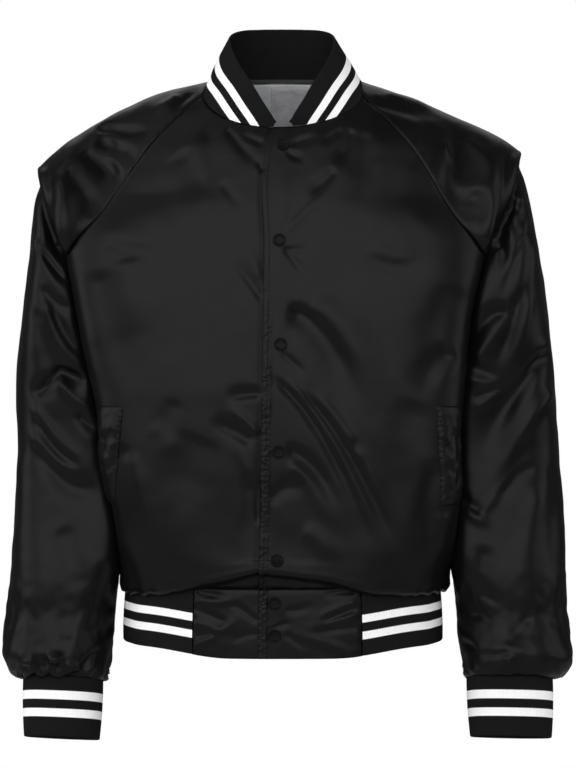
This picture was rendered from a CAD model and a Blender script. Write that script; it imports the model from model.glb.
"""Looks of the satin baseball jacket. Sizes are millimetres, and +X is the wearer's left."""

import bmesh
import bpy
import numpy as np
from mathutils import Matrix, Vector, noise


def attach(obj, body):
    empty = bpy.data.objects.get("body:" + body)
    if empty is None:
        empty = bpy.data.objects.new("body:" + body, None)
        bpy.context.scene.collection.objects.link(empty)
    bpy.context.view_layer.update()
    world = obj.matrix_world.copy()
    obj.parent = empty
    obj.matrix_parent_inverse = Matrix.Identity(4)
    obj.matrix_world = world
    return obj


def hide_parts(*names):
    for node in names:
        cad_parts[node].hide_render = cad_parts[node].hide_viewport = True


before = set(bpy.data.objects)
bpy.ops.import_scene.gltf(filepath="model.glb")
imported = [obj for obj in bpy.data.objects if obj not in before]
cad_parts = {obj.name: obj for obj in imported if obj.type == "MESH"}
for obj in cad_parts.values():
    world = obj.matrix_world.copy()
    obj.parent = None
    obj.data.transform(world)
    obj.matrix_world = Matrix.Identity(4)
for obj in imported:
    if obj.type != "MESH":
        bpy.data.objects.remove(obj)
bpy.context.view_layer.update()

# ---------------------------------------------------------------- the two fronts
# Raglan fronts of black nylon satin with a pale brushed lining. The wearer's left one laps over
# the right one and carries the placket's folded edge, topstitched and puckered. Both blouse over
# the waistband seam.

MM = 0.001
ROUNDNESS = 2.7  # exponent of the body's sections, where 2 is an ellipse
ARM_ROUNDNESS = 7.0  # the same beside the arms, where the fronts and the back run on flatter
ARM_ROUND_Z = (-130.0, -600.0)  # the heights between which they do
ARM_ROUND_FADES = (110.0, 120.0)  # the distances over which this form comes and goes
SATIN_WALL = 1.3  # shell and lining together
FINE = 240  # points on a section before it is divided
ROW_STEP = 3.4  # distance between rows of the finished cloth
LAP = 27.0  # how far the right front runs on beneath the left one
LAP_DROP = 2.6
LAP_ROW = 60  # the row of the left front in which its lap is measured
NECK_Z, BACK_NECK_Z = -58.0, 17.0
CHEST_Z = -216.0
SEAM_STATIONS = 28


def table(columns, *rows):
    """A table as named columns of numbers."""
    return dict(zip(columns.split(), np.array(rows, float).T))


BODY = table(
    "z     shift front_half back_half front  back",
    (30,   0,    96,        86,       42,    76),
    (12,   0,    102,       96,       52,    82),
    (-12,  0,    114,       126,      63,    91),
    (-24,  -1,   137,       148,      70,    94),
    (-38,  -2,   176,       178,      78,    98),
    (-66,  -3,   224,       218,      93,    104),
    (-100, -4,   249,       248,      104,   109),
    (-140, -6,   261,       261,      114,   114),
    (-180, -8,   256,       256,      120,   117),
    (-216, -9,   243,       243,      123,   118),
    (-245, -9.5, 236,       236,      125.5, 118),
    (-284, -10,  229,       229,      128,   117),
    (-332, -7,   222,       222,      130,   115),
    (-374, -4,   215,       215,      131,   114),
    (-422, -3,   211,       211,      131.5, 114),
    (-464, 0,    208.5,     208.5,    131,   116),
    (-494, 3,    203,       203,      130.5, 118),
    (-530, 4,    199.5,     199.5,    130,   121),
    (-552, 4,    197.5,     197.5,    131,   122),
)
BODY_ROWS = (-216, -238, -268, -304, -342, -380, -418, -456, -494, -528, -552)
# The blouse as height at the sides, share of the front's rise, and reach beyond the waist ring.
BLOUSE = table(
    "side_z rise  shift out_side out_front",
    (-583,  0.95, 2,    8.5,     18),
    (-593,  1,    2,    8.5,     18),
    (-598,  1.05, 1.5,  6,       11),
    (-600,  1.05, 1,    4,       5),
    (-598,  0,    0,    0,       0),
)
HEM_RISE = table(
    "x     rise",
    (-160, 0),
    (-122, 4),
    (-97,  10),
    (-65,  16.5),
    (-32,  24),
    (-18,  25),
    (12,   20.5),
    (56,   15),
    (80,   8),
    (102,  3),
    (140,  0),
)
SEAM_RISE = 9.0  # of the waistband seam at the front
SEAM_RISE_FROM, SEAM_RISE_OVER = 0.45, 0.5  # as cosines of the turn away from the front
WAIST = {"half": 188.0, "front": 115.0, "back": 106.0}
FRONT_RAGLAN = table(
    "half z",
    (93,  -13),
    (116, -38),
    (141, -66),
    (163, -95),
    (185, -130),
    (206, -162),
    (229, -189),
    (239, -204),
    (243, -216),
)
BACK_RAGLAN = table(
    "half z",
    (58,  15),
    (92,  -20),
    (123, -56),
    (152, -95),
    (176, -130),
    (200, -162),
    (226, -189),
    (238, -204),
    (243, -216),
)
FRONT_EDGE = table(
    "z     x",
    (-58,  -11),
    (-85,  -19),
    (-200, -21),
    (-310, -22.5),
    (-430, -24.5),
    (-560, -27),
    (-680, -27),
)
SNAPS = table(
    "x     z",
    (1,    -80),
    (-3,   -192),
    (-3,   -310),
    (-4,   -433),
    (-7,   -556),
    (-9.5, -607),
    (-9.5, -642),
)

# Creases in the front view, each a curve that starts, bends and ends at the given X and Z.
# A depth below 0 is a trough. Lean makes the fold steep on one side and shallow on the other.
CREASE_COLUMNS = "x0 z0 x1 z1 x2 z2 width depth lean"
FRONT_CREASES = table(
    CREASE_COLUMNS,
    # the long falls from the second, third and fourth snaps to the lower left of the wearer
    (2, -268, 66, -285, 84, -400, 15, -6, 0.3),
    (30, -262, 92, -290, 106, -395, 22, 4, 0),
    (-14, -346, 52, -390, 108, -558, 5.5, -3.8, 0.2),
    (0, -348, 60, -396, 120, -556, 5.5, 2.4, 0),
    (20, -362, 76, -416, 138, -560, 5.5, -3.6, 0.2),
    (34, -362, 86, -416, 148, -556, 7, 2.4, 0),
    (-2, -318, 10, -330, 32, -350, 4, -1.8, 0),
    (0, -428, 38, -430, 72, -520, 10, -4, 0.3),
    (4, -448, 40, -452, 62, -540, 9, 2.5, 0),
    (-14, -492, -2, -462, 28, -478, 8, -3, 0),
    (22, -520, 44, -530, 70, -560, 12, 2.6, 0),
    (78, -418, 82, -425, 84, -436, 7, -2, 0),
    # from the neck seam and the first two snaps
    (4, -82, 20, -72, 44, -68, 4, -2, 0.2),
    (2, -84, 14, -96, 26, -94, 4, -2, 0),
    (70, -60, 56, -68, 42, -80, 4, -1.6, 0),
    (82, -58, 74, -84, 58, -104, 8, -2.6, 0.2),
    (96, -60, 96, -100, 84, -150, 12, -1.8, 0.2),
    (62, -108, 46, -128, 24, -138, 6, -2.2, 0.3),
    (2, -184, 24, -156, 76, -118, 5, 1.3, 0),
    (0, -176, 4, -140, 6, -104, 7, 0.9, 0),
    (0, -198, 10, -210, 34, -242, 4, -1.6, 0),
    (0, -200, 14, -204, 34, -200, 4, -1.2, 0),
    (92, -206, 128, -240, 172, -206, 9, -1.2, 0),
    (106, -196, 132, -222, 164, -196, 9, 1.1, 0),
    # right half
    (-22, -80, -36, -72, -54, -66, 4, -1.8, 0.2),
    (-66, -58, -50, -78, -28, -104, 5, -2.2, 0.3),
    (-22, -112, -26, -104, -32, -92, 4, -1.4, 0),
    (-86, -54, -84, -100, -72, -160, 12, -2, 0),
    (-118, -84, -102, -110, -92, -150, 16, -2.2, 0.3),
    (-70, -120, -60, -142, -44, -156, 6, -1.2, 0),
    (-23, -262, -36, -240, -56, -214, 5, -2.2, 0.3),
    (-24, -238, -34, -214, -46, -190, 5, 1.2, 0),
    (-204, -190, -176, -206, -128, -204, 10, -1.6, 0.2),
    (-214, -220, -196, -290, -172, -380, 22, -3.5, 0),
    (-182, -210, -170, -250, -162, -300, 22, 2, 0),
    (-24, -366, -44, -366, -68, -370, 6, -4.2, 0.2),
    (-26, -412, -44, -396, -64, -378, 5, 2.6, 0),
    (-34, -424, -62, -404, -84, -396, 8, -3.2, 0.2),
    (-30, -474, -44, -440, -56, -404, 9, 2.2, 0),
    (-28, -516, -30, -490, -28, -462, 4, -2.4, 0),
    (-96, -412, -110, -440, -118, -520, 24, -3, 0),
    (-120, -372, -134, -400, -138, -430, 12, -1.8, 0),
    (-150, -400, -128, -420, -118, -440, 12, 1.6, 0),
    (-186, -420, -178, -470, -164, -550, 12, -3, 0.2),
    (-176, -430, -160, -480, -150, -545, 12, 2.2, 0),
    (-36, -450, -42, -500, -34, -560, 9, -2, 0),
    # below the arms and beside the pockets
    (196, -236, 170, -300, 150, -346, 22, -3, 0),
    (196, -316, 172, -334, 144, -366, 15, -5, 0.2),
    (150, -370, 128, -440, 146, -540, 26, -2.8, 0),
    (176, -440, 160, -500, 166, -566, 14, -3.5, 0),
    (186, -500, 176, -530, 180, -560, 9, 2.5, 0),
)
CREASE_STARTS, CREASE_ENDS = 0.15, 0.45  # shares of a crease over which it fades in and out
CREASE_POINTS = 14
SNAP_PRESS = 13.0  # a snap presses the creases flat within this distance
PLACKET = 30.0  # the placket's cloth, doubled, stands a little proud for this far
STITCH_INSET = 6.5  # of the topstitching from a folded edge
NO_STITCHING = 40.0  # a distance from the edge at which no stitching is drawn
PUCKERED_Z = -255.0  # the placket puckers fully some way below this height
GROOVE_DEPTH, GROOVE_WIDTH = 1.1, 3.0  # of a seam
SEAM_PUCKER, SEAM_PUCKER_STEP, SEAM_PUCKER_REACH = 0.45, 14.0, 9.0
GATHERS_BEGIN, GATHERS_HOLD, GATHERS_FADE = 6.0, 8.0, 14.0  # heights above the seam
SEAM_HOLDS = 5.0  # the cloth lies flat for about this far above a seam that it hangs over
FRONT_GATHERS = 1.5
PLACKET_RISE, PLACKET_SLOPE = 0.7, 16.0
BENEATH_LAP, BENEATH_LAP_DROP = 8.0, 1.2  # where the right front starts from beneath the lap
FULL_TURN = 6.2832


def smooth(at, knots, values):
    """Reads the rows of a table, or of points, between its knots along a curve through them."""
    at = np.asarray(at, float)
    if knots[0] > knots[-1]:
        knots, values = knots[::-1], values[::-1]
    slopes = np.gradient(values, knots, axis=0)
    i = np.clip(np.searchsorted(knots, at) - 1, 0, len(knots) - 2)
    step = knots[i + 1] - knots[i]
    t = np.clip((at - knots[i]) / step, 0.0, 1.0)
    if values.ndim > 1:
        step, t = step[..., None], t[..., None]
    start = (1 + 2 * t) * (1 - t) ** 2 * values[i] + t * (1 - t) ** 2 * step * slopes[i]
    return start + t * t * (3 - 2 * t) * values[i + 1] + t * t * (t - 1) * step * slopes[i + 1]


def lengths(points):
    """Distance travelled along a line of points."""
    steps = np.linalg.norm(np.diff(points, axis=0), axis=1)
    return np.concatenate([[0.0], np.cumsum(steps)])


def divide(points, shares):
    """Points at the given shares of a line's length."""
    travelled = lengths(points)
    at = np.asarray(shares) * travelled[-1]
    return np.stack([np.interp(at, travelled, points[:, k]) for k in range(3)], axis=1)


def ease(x):
    x = np.clip(x, 0.0, 1.0)
    return x * x * (3 - 2 * x)


def unit(v):
    return v / np.maximum(np.linalg.norm(v, axis=-1, keepdims=True), 1e-9)


def body_at(name, z):
    return smooth(z, BODY["z"], BODY[name])


def body_middle(z):
    return float(body_at("shift", z))


def left_edge(z):
    return float(smooth(z, FRONT_EDGE["z"], FRONT_EDGE["x"]))


def roundness(z):
    """The exponent of the body's section at a height."""
    (top, end), (coming, going) = ARM_ROUND_Z, ARM_ROUND_FADES
    beside = ease((top - z) / coming) * ease((z - end) / going)
    return ROUNDNESS + (ARM_ROUNDNESS - ROUNDNESS) * beside


def surface_y(x, z, face):
    """The body's surface as Y over the front view (face -1) or the back view (1)."""
    half = body_at("front_half" if face < 0 else "back_half", z)
    reach = body_at("front" if face < 0 else "back", z)
    share = np.clip(np.abs(x - body_at("shift", z)) / half, 0.0, 1.0)
    return face * reach * (1 - share ** roundness(z)) ** (1 / roundness(z))


def quarter(shift, half, reach, side, face, start_x, power):
    """A quarter of a body section, from start_x to the side seam, and the turn at each point."""
    share = np.clip((start_x - shift) * side / half, -1.0, 1.0)
    begin = np.arcsin(np.sign(share) * np.abs(share) ** (power / 2))
    turn = np.linspace(begin, np.pi / 2, FINE)
    x = shift + side * half * np.sign(turn) * np.abs(np.sin(turn)) ** (2 / power)
    return x, face * reach * np.abs(np.cos(turn)) ** (2 / power), turn


def raglan(side, face):
    """The raglan seam from the neck to the underarm, at its stations."""
    seam, half_name = (FRONT_RAGLAN, "front_half") if face < 0 else (BACK_RAGLAN, "back_half")
    rows = np.arange(len(seam["z"]), dtype=float)
    # the points crowd together at the underarm, where the body's section turns steeply
    at = (len(rows) - 1) * (1 - np.linspace(1, 0, 4 * FINE) ** 6)
    z = smooth(at, rows, seam["z"])
    share = smooth(at, rows, seam["half"]) / body_at(half_name, z)

    def on_body(z):
        x = body_at("shift", z) + side * share * body_at(half_name, z)
        return np.stack([x, surface_y(x, z, face), z], axis=1)

    # below its last station but one, beneath the arm, the seam drops evenly along its length
    travelled = lengths(on_body(z))
    beneath = np.interp(len(rows) - 2, at, travelled)
    evenly = np.interp(travelled, (beneath, travelled[-1]), seam["z"][-2:])
    z = np.where(travelled > beneath, evenly, z)
    return divide(on_body(z), np.linspace(0, 1, SEAM_STATIONS))


def half_panel(side, face, edge, shares):
    """One front, or one half of the back, in rows from the neck down to the waistband seam."""
    reach_name = "front" if face < 0 else "back"
    seam = raglan(side, face)
    middle_top = NECK_Z if face < 0 else BACK_NECK_Z
    t = np.linspace(0, 1, FINE)
    rows = []
    for k, end in enumerate(seam[:-1]):
        down = k / (SEAM_STATIONS - 1)
        z0 = middle_top + (CHEST_Z - middle_top) * down
        bend = (1 - down) ** 2
        x = edge(z0) + (end[0] - edge(z0)) * ((1 - bend) * t + bend * np.sin(t * np.pi / 2))
        z = z0 + (end[2] - z0) * ((1 - bend) * t + bend * (1 - np.cos(t * np.pi / 2)))
        rows.append(divide(np.stack([x, surface_y(x, z, face), z], axis=1), shares))
    for z0 in BODY_ROWS:
        half, reach = body_at("front_half", z0), body_at(reach_name, z0)
        x, y, _ = quarter(body_middle(z0), half, reach, side, face, edge(z0), roundness(z0))
        rows.append(divide(np.stack([x, y, np.full_like(x, z0)], axis=1), shares))
    rows[SEAM_STATIONS - 1][-1] = seam[-1]
    for side_z, rise, shift, out_side, out_front in zip(*BLOUSE.values()):
        half, reach = WAIST["half"] + out_side, WAIST[reach_name] + out_front
        x, y, turn = quarter(shift, half, reach, side, face, edge(side_z), roundness(side_z))
        hem = np.interp(x, HEM_RISE["x"], HEM_RISE["rise"]) * rise
        seam_rise = ease((np.cos(turn) - SEAM_RISE_FROM) / SEAM_RISE_OVER) * SEAM_RISE
        z = side_z + (hem + seam_rise * (rise == 0)) * (face < 0)
        rows.append(divide(np.stack([x, y, z], axis=1), shares))
    return np.array(rows)


def finer_rows(grid, step=ROW_STEP):
    """The same cloth with rows a step apart, and where its first rows now lie among them."""
    gaps = np.linalg.norm(np.diff(grid, axis=0), axis=2).mean(axis=1)
    knots = np.concatenate([[0.0], np.cumsum(gaps)])
    count = int(round(knots[-1] / step)) + 1
    flat = smooth(np.linspace(0, knots[-1], count), knots, grid.reshape(len(grid), -1))
    return flat.reshape(count, *grid.shape[1:]), knots / knots[-1] * (count - 1)


def normals_of(grid, column_by_row):
    """Outward normals of a grid of points."""
    across, down = np.gradient(grid, axis=1), np.gradient(grid, axis=0)
    return unit(np.cross(across, down) * (1 if column_by_row else -1))


def distances(grid, axis):
    """How far each point lies along its row (axis 1) or its column (axis 0)."""
    steps = np.linalg.norm(np.diff(grid, axis=axis), axis=2)
    first = np.zeros_like(np.take(steps, [0], axis=axis))
    return np.concatenate([first, np.cumsum(steps, axis=axis)], axis=axis)


def creased(grid, normals, creases, face):
    """How far the creases of a view lift (or sink) each point that faces that view."""
    x, z = grid[..., 0], grid[..., 2]
    lift = np.zeros_like(x)
    shares = np.linspace(0, 1, CREASE_POINTS)
    for x0, z0, x1, z1, x2, z2, width, depth, lean in zip(*creases.values()):
        way_x = (1 - shares) ** 2 * x0 + 2 * shares * (1 - shares) * x1 + shares**2 * x2
        way_z = (1 - shares) ** 2 * z0 + 2 * shares * (1 - shares) * z1 + shares**2 * z2
        reach = 3 * width
        near = (x > way_x.min() - reach) & (x < way_x.max() + reach)
        near &= (z > way_z.min() - reach) & (z < way_z.max() + reach)
        px, pz = x[near], z[near]
        best = np.full(px.shape, 1e9)
        side, along = np.zeros_like(best), np.zeros_like(best)
        for k in range(CREASE_POINTS - 1):
            ex, ez = way_x[k + 1] - way_x[k], way_z[k + 1] - way_z[k]
            t = np.clip(((px - way_x[k]) * ex + (pz - way_z[k]) * ez) / (ex * ex + ez * ez), 0, 1)
            dx, dz = px - way_x[k] - t * ex, pz - way_z[k] - t * ez
            far = np.hypot(dx, dz)
            closer = far < best
            best = np.where(closer, far, best)
            side = np.where(closer, np.sign(dx * ez - dz * ex), side)
            along = np.where(closer, (k + t) / (CREASE_POINTS - 1), along)
        u = best / (width * (0.7 + 0.6 * along) * (1 + lean * side))
        fade = ease(along / CREASE_STARTS) * ease((1 - along) / CREASE_ENDS)
        lift[near] += depth * fade * np.exp(-(u**2))
    facing = ease(normals[..., 1] * face / 0.5)
    return lift * facing


def unevenness(grid, height, size, seed):
    """Soft random relief, up to about the given height, with hills of the given size."""
    offset = Vector((seed * 17.0, seed * 5.0, seed * 11.0))
    flat = [noise.noise(Vector(p) / size + offset) for p in grid.reshape(-1, 3)]
    return height * np.array(flat).reshape(grid.shape[:2])


def pressed(grid):
    """0 at the snaps, where the cloth is held flat, rising to 1 away from them."""
    free = np.ones(grid.shape[:2])
    for x, z in zip(SNAPS["x"], SNAPS["z"]):
        far = np.hypot(grid[..., 0] - x, grid[..., 2] - z)
        free = np.minimum(free, 0.25 + 0.75 * ease(far / SNAP_PRESS - 0.35))
    return np.where(grid[..., 1] < 0, free, 1.0)


def seam_groove(distance, phase):
    """A seam's groove and the small puckers beside it, from the distance to the seam."""
    ripple = np.sin(2 * np.pi * phase / SEAM_PUCKER_STEP + 1.6 * np.sin(phase / 31.0))
    groove = -GROOVE_DEPTH * np.exp(-((distance / GROOVE_WIDTH) ** 2))
    return groove + SEAM_PUCKER * ripple * np.exp(-distance / SEAM_PUCKER_REACH)


def gathers(around, above, depth, seed):
    """Gathers that stand out above a seam, uneven in width, and fade with height."""
    wave = np.sin(around / 3.6 + 1.3 * np.sin(around / 17.0 + seed) + 0.8 * np.sin(around / 7.3))
    slow = 0.6 + 0.4 * np.sin(around / 43.0 + seed * 2)
    higher = np.maximum(above - GATHERS_HOLD, 0.0)
    rise = ease(above / GATHERS_BEGIN) * np.exp(-higher / GATHERS_FADE)
    return depth * wave * slow * rise


def to_object(bm, name):
    """Puts a finished bmesh into the scene, shaded smooth."""
    for face in bm.faces:
        face.smooth = True
    mesh = bpy.data.meshes.new(name)
    bm.to_mesh(mesh)
    bm.free()
    made = bpy.data.objects.new(name, mesh)
    bpy.context.scene.collection.objects.link(made)
    return made


def grid_mesh(name, grid, column_by_row, around=None, along=None, welded_from=None):
    """A piece from a grid of points. Its UV map holds the two distances, in millimetres."""
    if around is None:
        around, along = distances(grid, 1), distances(grid, 0)
    around = np.broadcast_to(around, grid.shape[:2])
    rows, columns = grid.shape[:2]
    bm = bmesh.new()
    uv_layer = bm.loops.layers.uv.new("cloth")
    bmesh.ops.create_grid(bm, x_segments=columns - 1, y_segments=rows - 1, size=1.0)
    place = {}
    for vert in bm.verts:
        c = int(round((vert.co.x + 1) / 2 * (columns - 1)))
        r = int(round((vert.co.y + 1) / 2 * (rows - 1)))
        place[vert] = (r, c)
    for vert, (r, c) in place.items():
        vert.co = Vector(grid[r, c]) * MM
    for face in bm.faces:
        for loop in face.loops:
            r, c = place[loop.vert]
            loop[uv_layer].uv = (around[r, c], along[r, c])
    if not column_by_row:
        bmesh.ops.reverse_faces(bm, faces=bm.faces)
    if welded_from is not None:
        at = {rc: vert for vert, rc in place.items()}
        pairs = {at[r, columns - 1]: at[r, 0] for r in range(welded_from, rows)}
        bmesh.ops.weld_verts(bm, targetmap=pairs)
    return to_object(bm, name)


def add_number(piece, name, values):
    """Stores a number at each point, or one for all points, for the material to read."""
    attribute = piece.data.attributes.new(name, "FLOAT", "POINT")
    values = np.asarray(values, np.float32).ravel()
    attribute.data.foreach_set("value", np.resize(values, len(piece.data.vertices)))


def thicken(piece, thickness, *materials):
    """Gives the cloth its thickness, inwards. The last of its materials shows inside."""
    for material in materials:
        piece.data.materials.append(material)
    wall = piece.modifiers.new("wall", "SOLIDIFY")
    wall.thickness = thickness * MM
    wall.offset = -1.0
    wall.material_offset = len(materials) - 1
    wall.material_offset_rim = 0


def wear(piece, node):
    """Puts a cloth piece in place of its solid and states its cut."""
    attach(piece, "root")
    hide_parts(node)


def group_of(name, inputs, outputs):
    """A node group with sockets for numbers, and its input and output nodes."""
    tree = bpy.data.node_groups.new(name, "ShaderNodeTree")
    kind = "NodeSocketFloat"
    for label, value in inputs.items():
        socket = tree.interface.new_socket(label, in_out="INPUT", socket_type=kind)
        socket.default_value = value
    for label in outputs:
        tree.interface.new_socket(label, in_out="OUTPUT", socket_type=kind)
    return tree, tree.nodes.new("NodeGroupInput"), tree.nodes.new("NodeGroupOutput")


def fill(tree, sockets, values):
    """Gives each socket its value, which is another socket or a constant."""
    for socket, value in zip(sockets, values):
        if isinstance(value, bpy.types.NodeSocket):
            tree.links.new(value, socket)
        elif value is not None:
            socket.default_value = value


def math_node(tree, operation, a, b=None, clamp=False):
    """A Math node. a and b are sockets or numbers."""
    node = tree.nodes.new("ShaderNodeMath")
    node.operation = operation
    node.use_clamp = clamp
    fill(tree, node.inputs, (a, b))
    return node.outputs[0]


def times(tree, a, b):
    return math_node(tree, "MULTIPLY", a, b)


def read_uv(tree):
    """The two distances of a piece's UV map."""
    uv = tree.nodes.new("ShaderNodeUVMap")
    uv.uv_map = "cloth"
    parts = tree.nodes.new("ShaderNodeSeparateXYZ")
    tree.links.new(uv.outputs[0], parts.inputs[0])
    return parts.outputs[0], parts.outputs[1]


def read_number(tree, name):
    """A number that is stored at the points of a piece."""
    node = tree.nodes.new("ShaderNodeAttribute")
    node.attribute_name = name
    return node.outputs["Fac"]


def noise_of(tree, scale, detail=2.0, place=None):
    """Soft noise with that many hills to a metre of the object, or to a unit of another place."""
    if place is None:
        place = tree.nodes.new("ShaderNodeTexCoord").outputs["Object"]
    node = tree.nodes.new("ShaderNodeTexNoise")
    sockets = [node.inputs[name] for name in ("Vector", "Scale", "Detail")]
    fill(tree, sockets, (place, scale, detail))
    return node.outputs[0]


def make_weave():
    """Crossing threads on the UV map, with soft mottling from the cloth's handling."""
    inputs = {"Pitch": 0.5, "Mottle Size": 30.0}
    tree, given, put = group_of("weave", inputs, ("Threads", "Mottle"))
    around, along = read_uv(tree)
    turn = math_node(tree, "DIVIDE", FULL_TURN, given.outputs["Pitch"])
    across = math_node(tree, "SINE", times(tree, around, turn))
    along = math_node(tree, "SINE", times(tree, times(tree, along, turn), 0.25))
    tree.links.new(times(tree, across, along), put.inputs["Threads"])
    scale = math_node(tree, "DIVIDE", 1000.0, given.outputs["Mottle Size"])
    tree.links.new(noise_of(tree, scale), put.inputs["Mottle"])
    return tree


def make_topstitch():
    """A line of sunk stitches where a distance equals the inset, along the other distance."""
    inputs = {"Distance": 0.0, "Run": 0.0, "Inset": 6.5, "Stitch": 3.0}
    tree, given, put = group_of("topstitch", inputs, ("Height", "Thread"))
    off = math_node(tree, "SUBTRACT", given.outputs["Distance"], given.outputs["Inset"])
    off = math_node(tree, "ABSOLUTE", off)
    trench = math_node(tree, "SUBTRACT", 1.0, math_node(tree, "DIVIDE", off, 1.6), clamp=True)
    core = math_node(tree, "SUBTRACT", 1.0, math_node(tree, "DIVIDE", off, 0.5), clamp=True)
    step = math_node(tree, "DIVIDE", given.outputs["Run"], given.outputs["Stitch"])
    beat = math_node(tree, "SINE", times(tree, step, FULL_TURN))
    beat = math_node(tree, "ADD", times(tree, beat, 0.9), 0.6, clamp=True)
    thread = times(tree, core, beat)
    tree.links.new(thread, put.inputs["Thread"])
    height = math_node(tree, "SUBTRACT", times(tree, thread, 0.5), trench)
    tree.links.new(height, put.inputs["Height"])
    return tree


WEAVE, TOPSTITCH = make_weave(), make_topstitch()


def use(tree, group, **values):
    """Places a node group in a material, with its values or links."""
    node = tree.nodes.new("ShaderNodeGroup")
    node.node_tree = group
    fill(tree, [node.inputs[name.replace("_", " ")] for name in values], values.values())
    return node


def new_material(name, roughness):
    material = bpy.data.materials.new(name)
    material.use_nodes = True
    shader = material.node_tree.nodes["Principled BSDF"]
    shader.inputs["Roughness"].default_value = roughness
    return material, material.node_tree, shader


def dress(tree, shader, colour, *layers):
    """Gives a shader its colour, and its relief in layers of (height, millimetres, strength)."""
    tree.links.new(colour, shader.inputs["Base Color"])
    normal = None
    for height, distance, strength in layers:
        node = tree.nodes.new("ShaderNodeBump")
        node.inputs["Strength"].default_value = strength
        node.inputs["Distance"].default_value = distance * MM
        fill(tree, (node.inputs["Height"], node.inputs["Normal"]), (height, normal))
        normal = node.outputs[0]
    tree.links.new(normal, shader.inputs["Normal"])


def ramp(tree, factor, *stops):
    """A colour ramp through (place, colour) stops."""
    node = tree.nodes.new("ShaderNodeValToRGB")
    elements = node.color_ramp.elements
    elements[0].position, elements[0].color = stops[0][0], (*stops[0][1], 1.0)
    elements[1].position, elements[1].color = stops[-1][0], (*stops[-1][1], 1.0)
    for place, colour in stops[1:-1]:
        elements.new(place).color = (*colour, 1.0)
    tree.links.new(factor, node.inputs[0])
    return node.outputs[0]


def make_satin():
    """Black nylon satin: a fine weave, a soft broad gloss and small puckers along its stitching."""
    material, tree, shader = new_material("black satin", 0.3)
    weave = use(tree, WEAVE, Pitch=0.45, Mottle_Size=42.0)
    fine = use(tree, WEAVE, Pitch=0.45, Mottle_Size=9.0)
    mottle = weave.outputs["Mottle"]
    colour = ramp(tree, mottle, (0.3, (0.003, 0.003, 0.0031)), (0.7, (0.0042, 0.0042, 0.0043)))
    rough = math_node(tree, "ADD", times(tree, mottle, 0.1), 0.29)
    tree.links.new(rough, shader.inputs["Roughness"])
    pucker, edge = read_number(tree, "pucker"), read_number(tree, "edge")
    _, along = read_uv(tree)
    place = tree.nodes.new("ShaderNodeCombineXYZ")
    fill(tree, place.inputs, (times(tree, edge, 0.16), times(tree, along, 0.2)))
    wave = times(tree, noise_of(tree, 1.0, 1.0, place.outputs[0]), pucker)
    stitch = use(tree, TOPSTITCH, Distance=edge, Run=along, Inset=STITCH_INSET)
    dress(
        tree,
        shader,
        colour,
        (mottle, 0.9, 0.6),
        (fine.outputs["Mottle"], 0.12, 0.6),
        (wave, 3.4, 1.0),
        (stitch.outputs["Height"], 0.35, 1.0),
        (weave.outputs["Threads"], 0.02, 0.5),
    )
    shader.inputs["Specular IOR Level"].default_value = 0.105
    return material


def make_cloth(name, roughness, pitch, mottle_size, dark, light, layers):
    """A plain woven cloth. Each layer of its relief names an output of the weave."""
    material, tree, shader = new_material(name, roughness)
    weave = use(tree, WEAVE, Pitch=pitch, Mottle_Size=mottle_size)
    colour = ramp(tree, weave.outputs["Mottle"], (0.3, dark), (0.7, light))
    dress(tree, shader, colour, *[(weave.outputs[named], *sizes) for named, *sizes in layers])
    return material, shader


SATIN = make_satin()
# pale grey brushed lining
LINING, lining_shader = make_cloth(
    "grey lining", 0.75, 0.9, 14.0, (0.44, 0.45, 0.46), (0.6, 0.61, 0.62),
    (("Mottle", 1.0, 0.5), ("Threads", 0.06, 0.7)),
)
lining_shader.inputs["Sheen Weight"].default_value = 0.2


def make_up(piece, pucker, edge, inside=LINING, wall=SATIN_WALL):
    """Makes a piece up in satin, with how much it puckers and how far its edge is at each point."""
    add_number(piece, "pucker", pucker)
    add_number(piece, "edge", edge)
    thicken(piece, wall, SATIN, inside)


# Columns stand close together by the front edge, where the placket puckers.
FRONT_SHARES = np.concatenate([np.linspace(0, 0.16, 23)[:-1], np.linspace(0.16, 1, 78)])


def front_lift(grid, normals, seam_side, seed):
    """All that lifts the cloth of a front: creases, gathers, seams and plain unevenness."""
    lift = creased(grid, normals, FRONT_CREASES, -1)
    lift += unevenness(grid, 1.1, 66.0, seed) + unevenness(grid, 0.4, 23.0, seed + 3)
    lift *= pressed(grid)
    down, across = distances(grid, 0), distances(grid, 1)
    above = down[-1] - down
    lift += gathers(across, above, FRONT_GATHERS, seed)
    to_side = across[:, -1:] - across
    lift += seam_groove(to_side, down + seam_side)
    return lift * ease(above / SEAM_HOLDS), down, across


left_rows, left_knots = finer_rows(half_panel(1, -1, left_edge, FRONT_SHARES))
right_rows, right_knots = finer_rows(half_panel(-1, -1, left_edge, FRONT_SHARES))
left_out, right_out = normals_of(left_rows, False), normals_of(right_rows, True)
left_lift, left_down, left_across = front_lift(left_rows, left_out, 0.0, 1)
right_lift, _, right_across = front_lift(right_rows, right_out, 5.0, 2)
left_lift += PLACKET_RISE * ease((PLACKET - left_across) / PLACKET_SLOPE)
right_lift -= BENEATH_LAP_DROP * ease((BENEATH_LAP - right_across) / BENEATH_LAP)
LEFT_FRONT = left_rows + left_out * left_lift[..., None]
RIGHT_FRONT = right_rows + right_out * right_lift[..., None]


def placket_pucker(grid, across):
    """Puckers between the folded edge and its topstitching, mostly from the chest down."""
    z = grid[..., 2]
    below = ease((PUCKERED_Z - z) / 60.0)
    uneven = 0.7 + 0.3 * np.sin(z / 11.0 + 2.0 * np.sin(z / 29.0))
    return (0.25 + 0.75 * below) * uneven * ease((13.0 - across) / 8.0) * ease((across + 0.8) / 1.2)


front_left = grid_mesh("front_left_satin", LEFT_FRONT, False, left_across, left_down)
make_up(front_left, placket_pucker(left_rows, left_across), left_across)
wear(front_left, "front_left")

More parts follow.
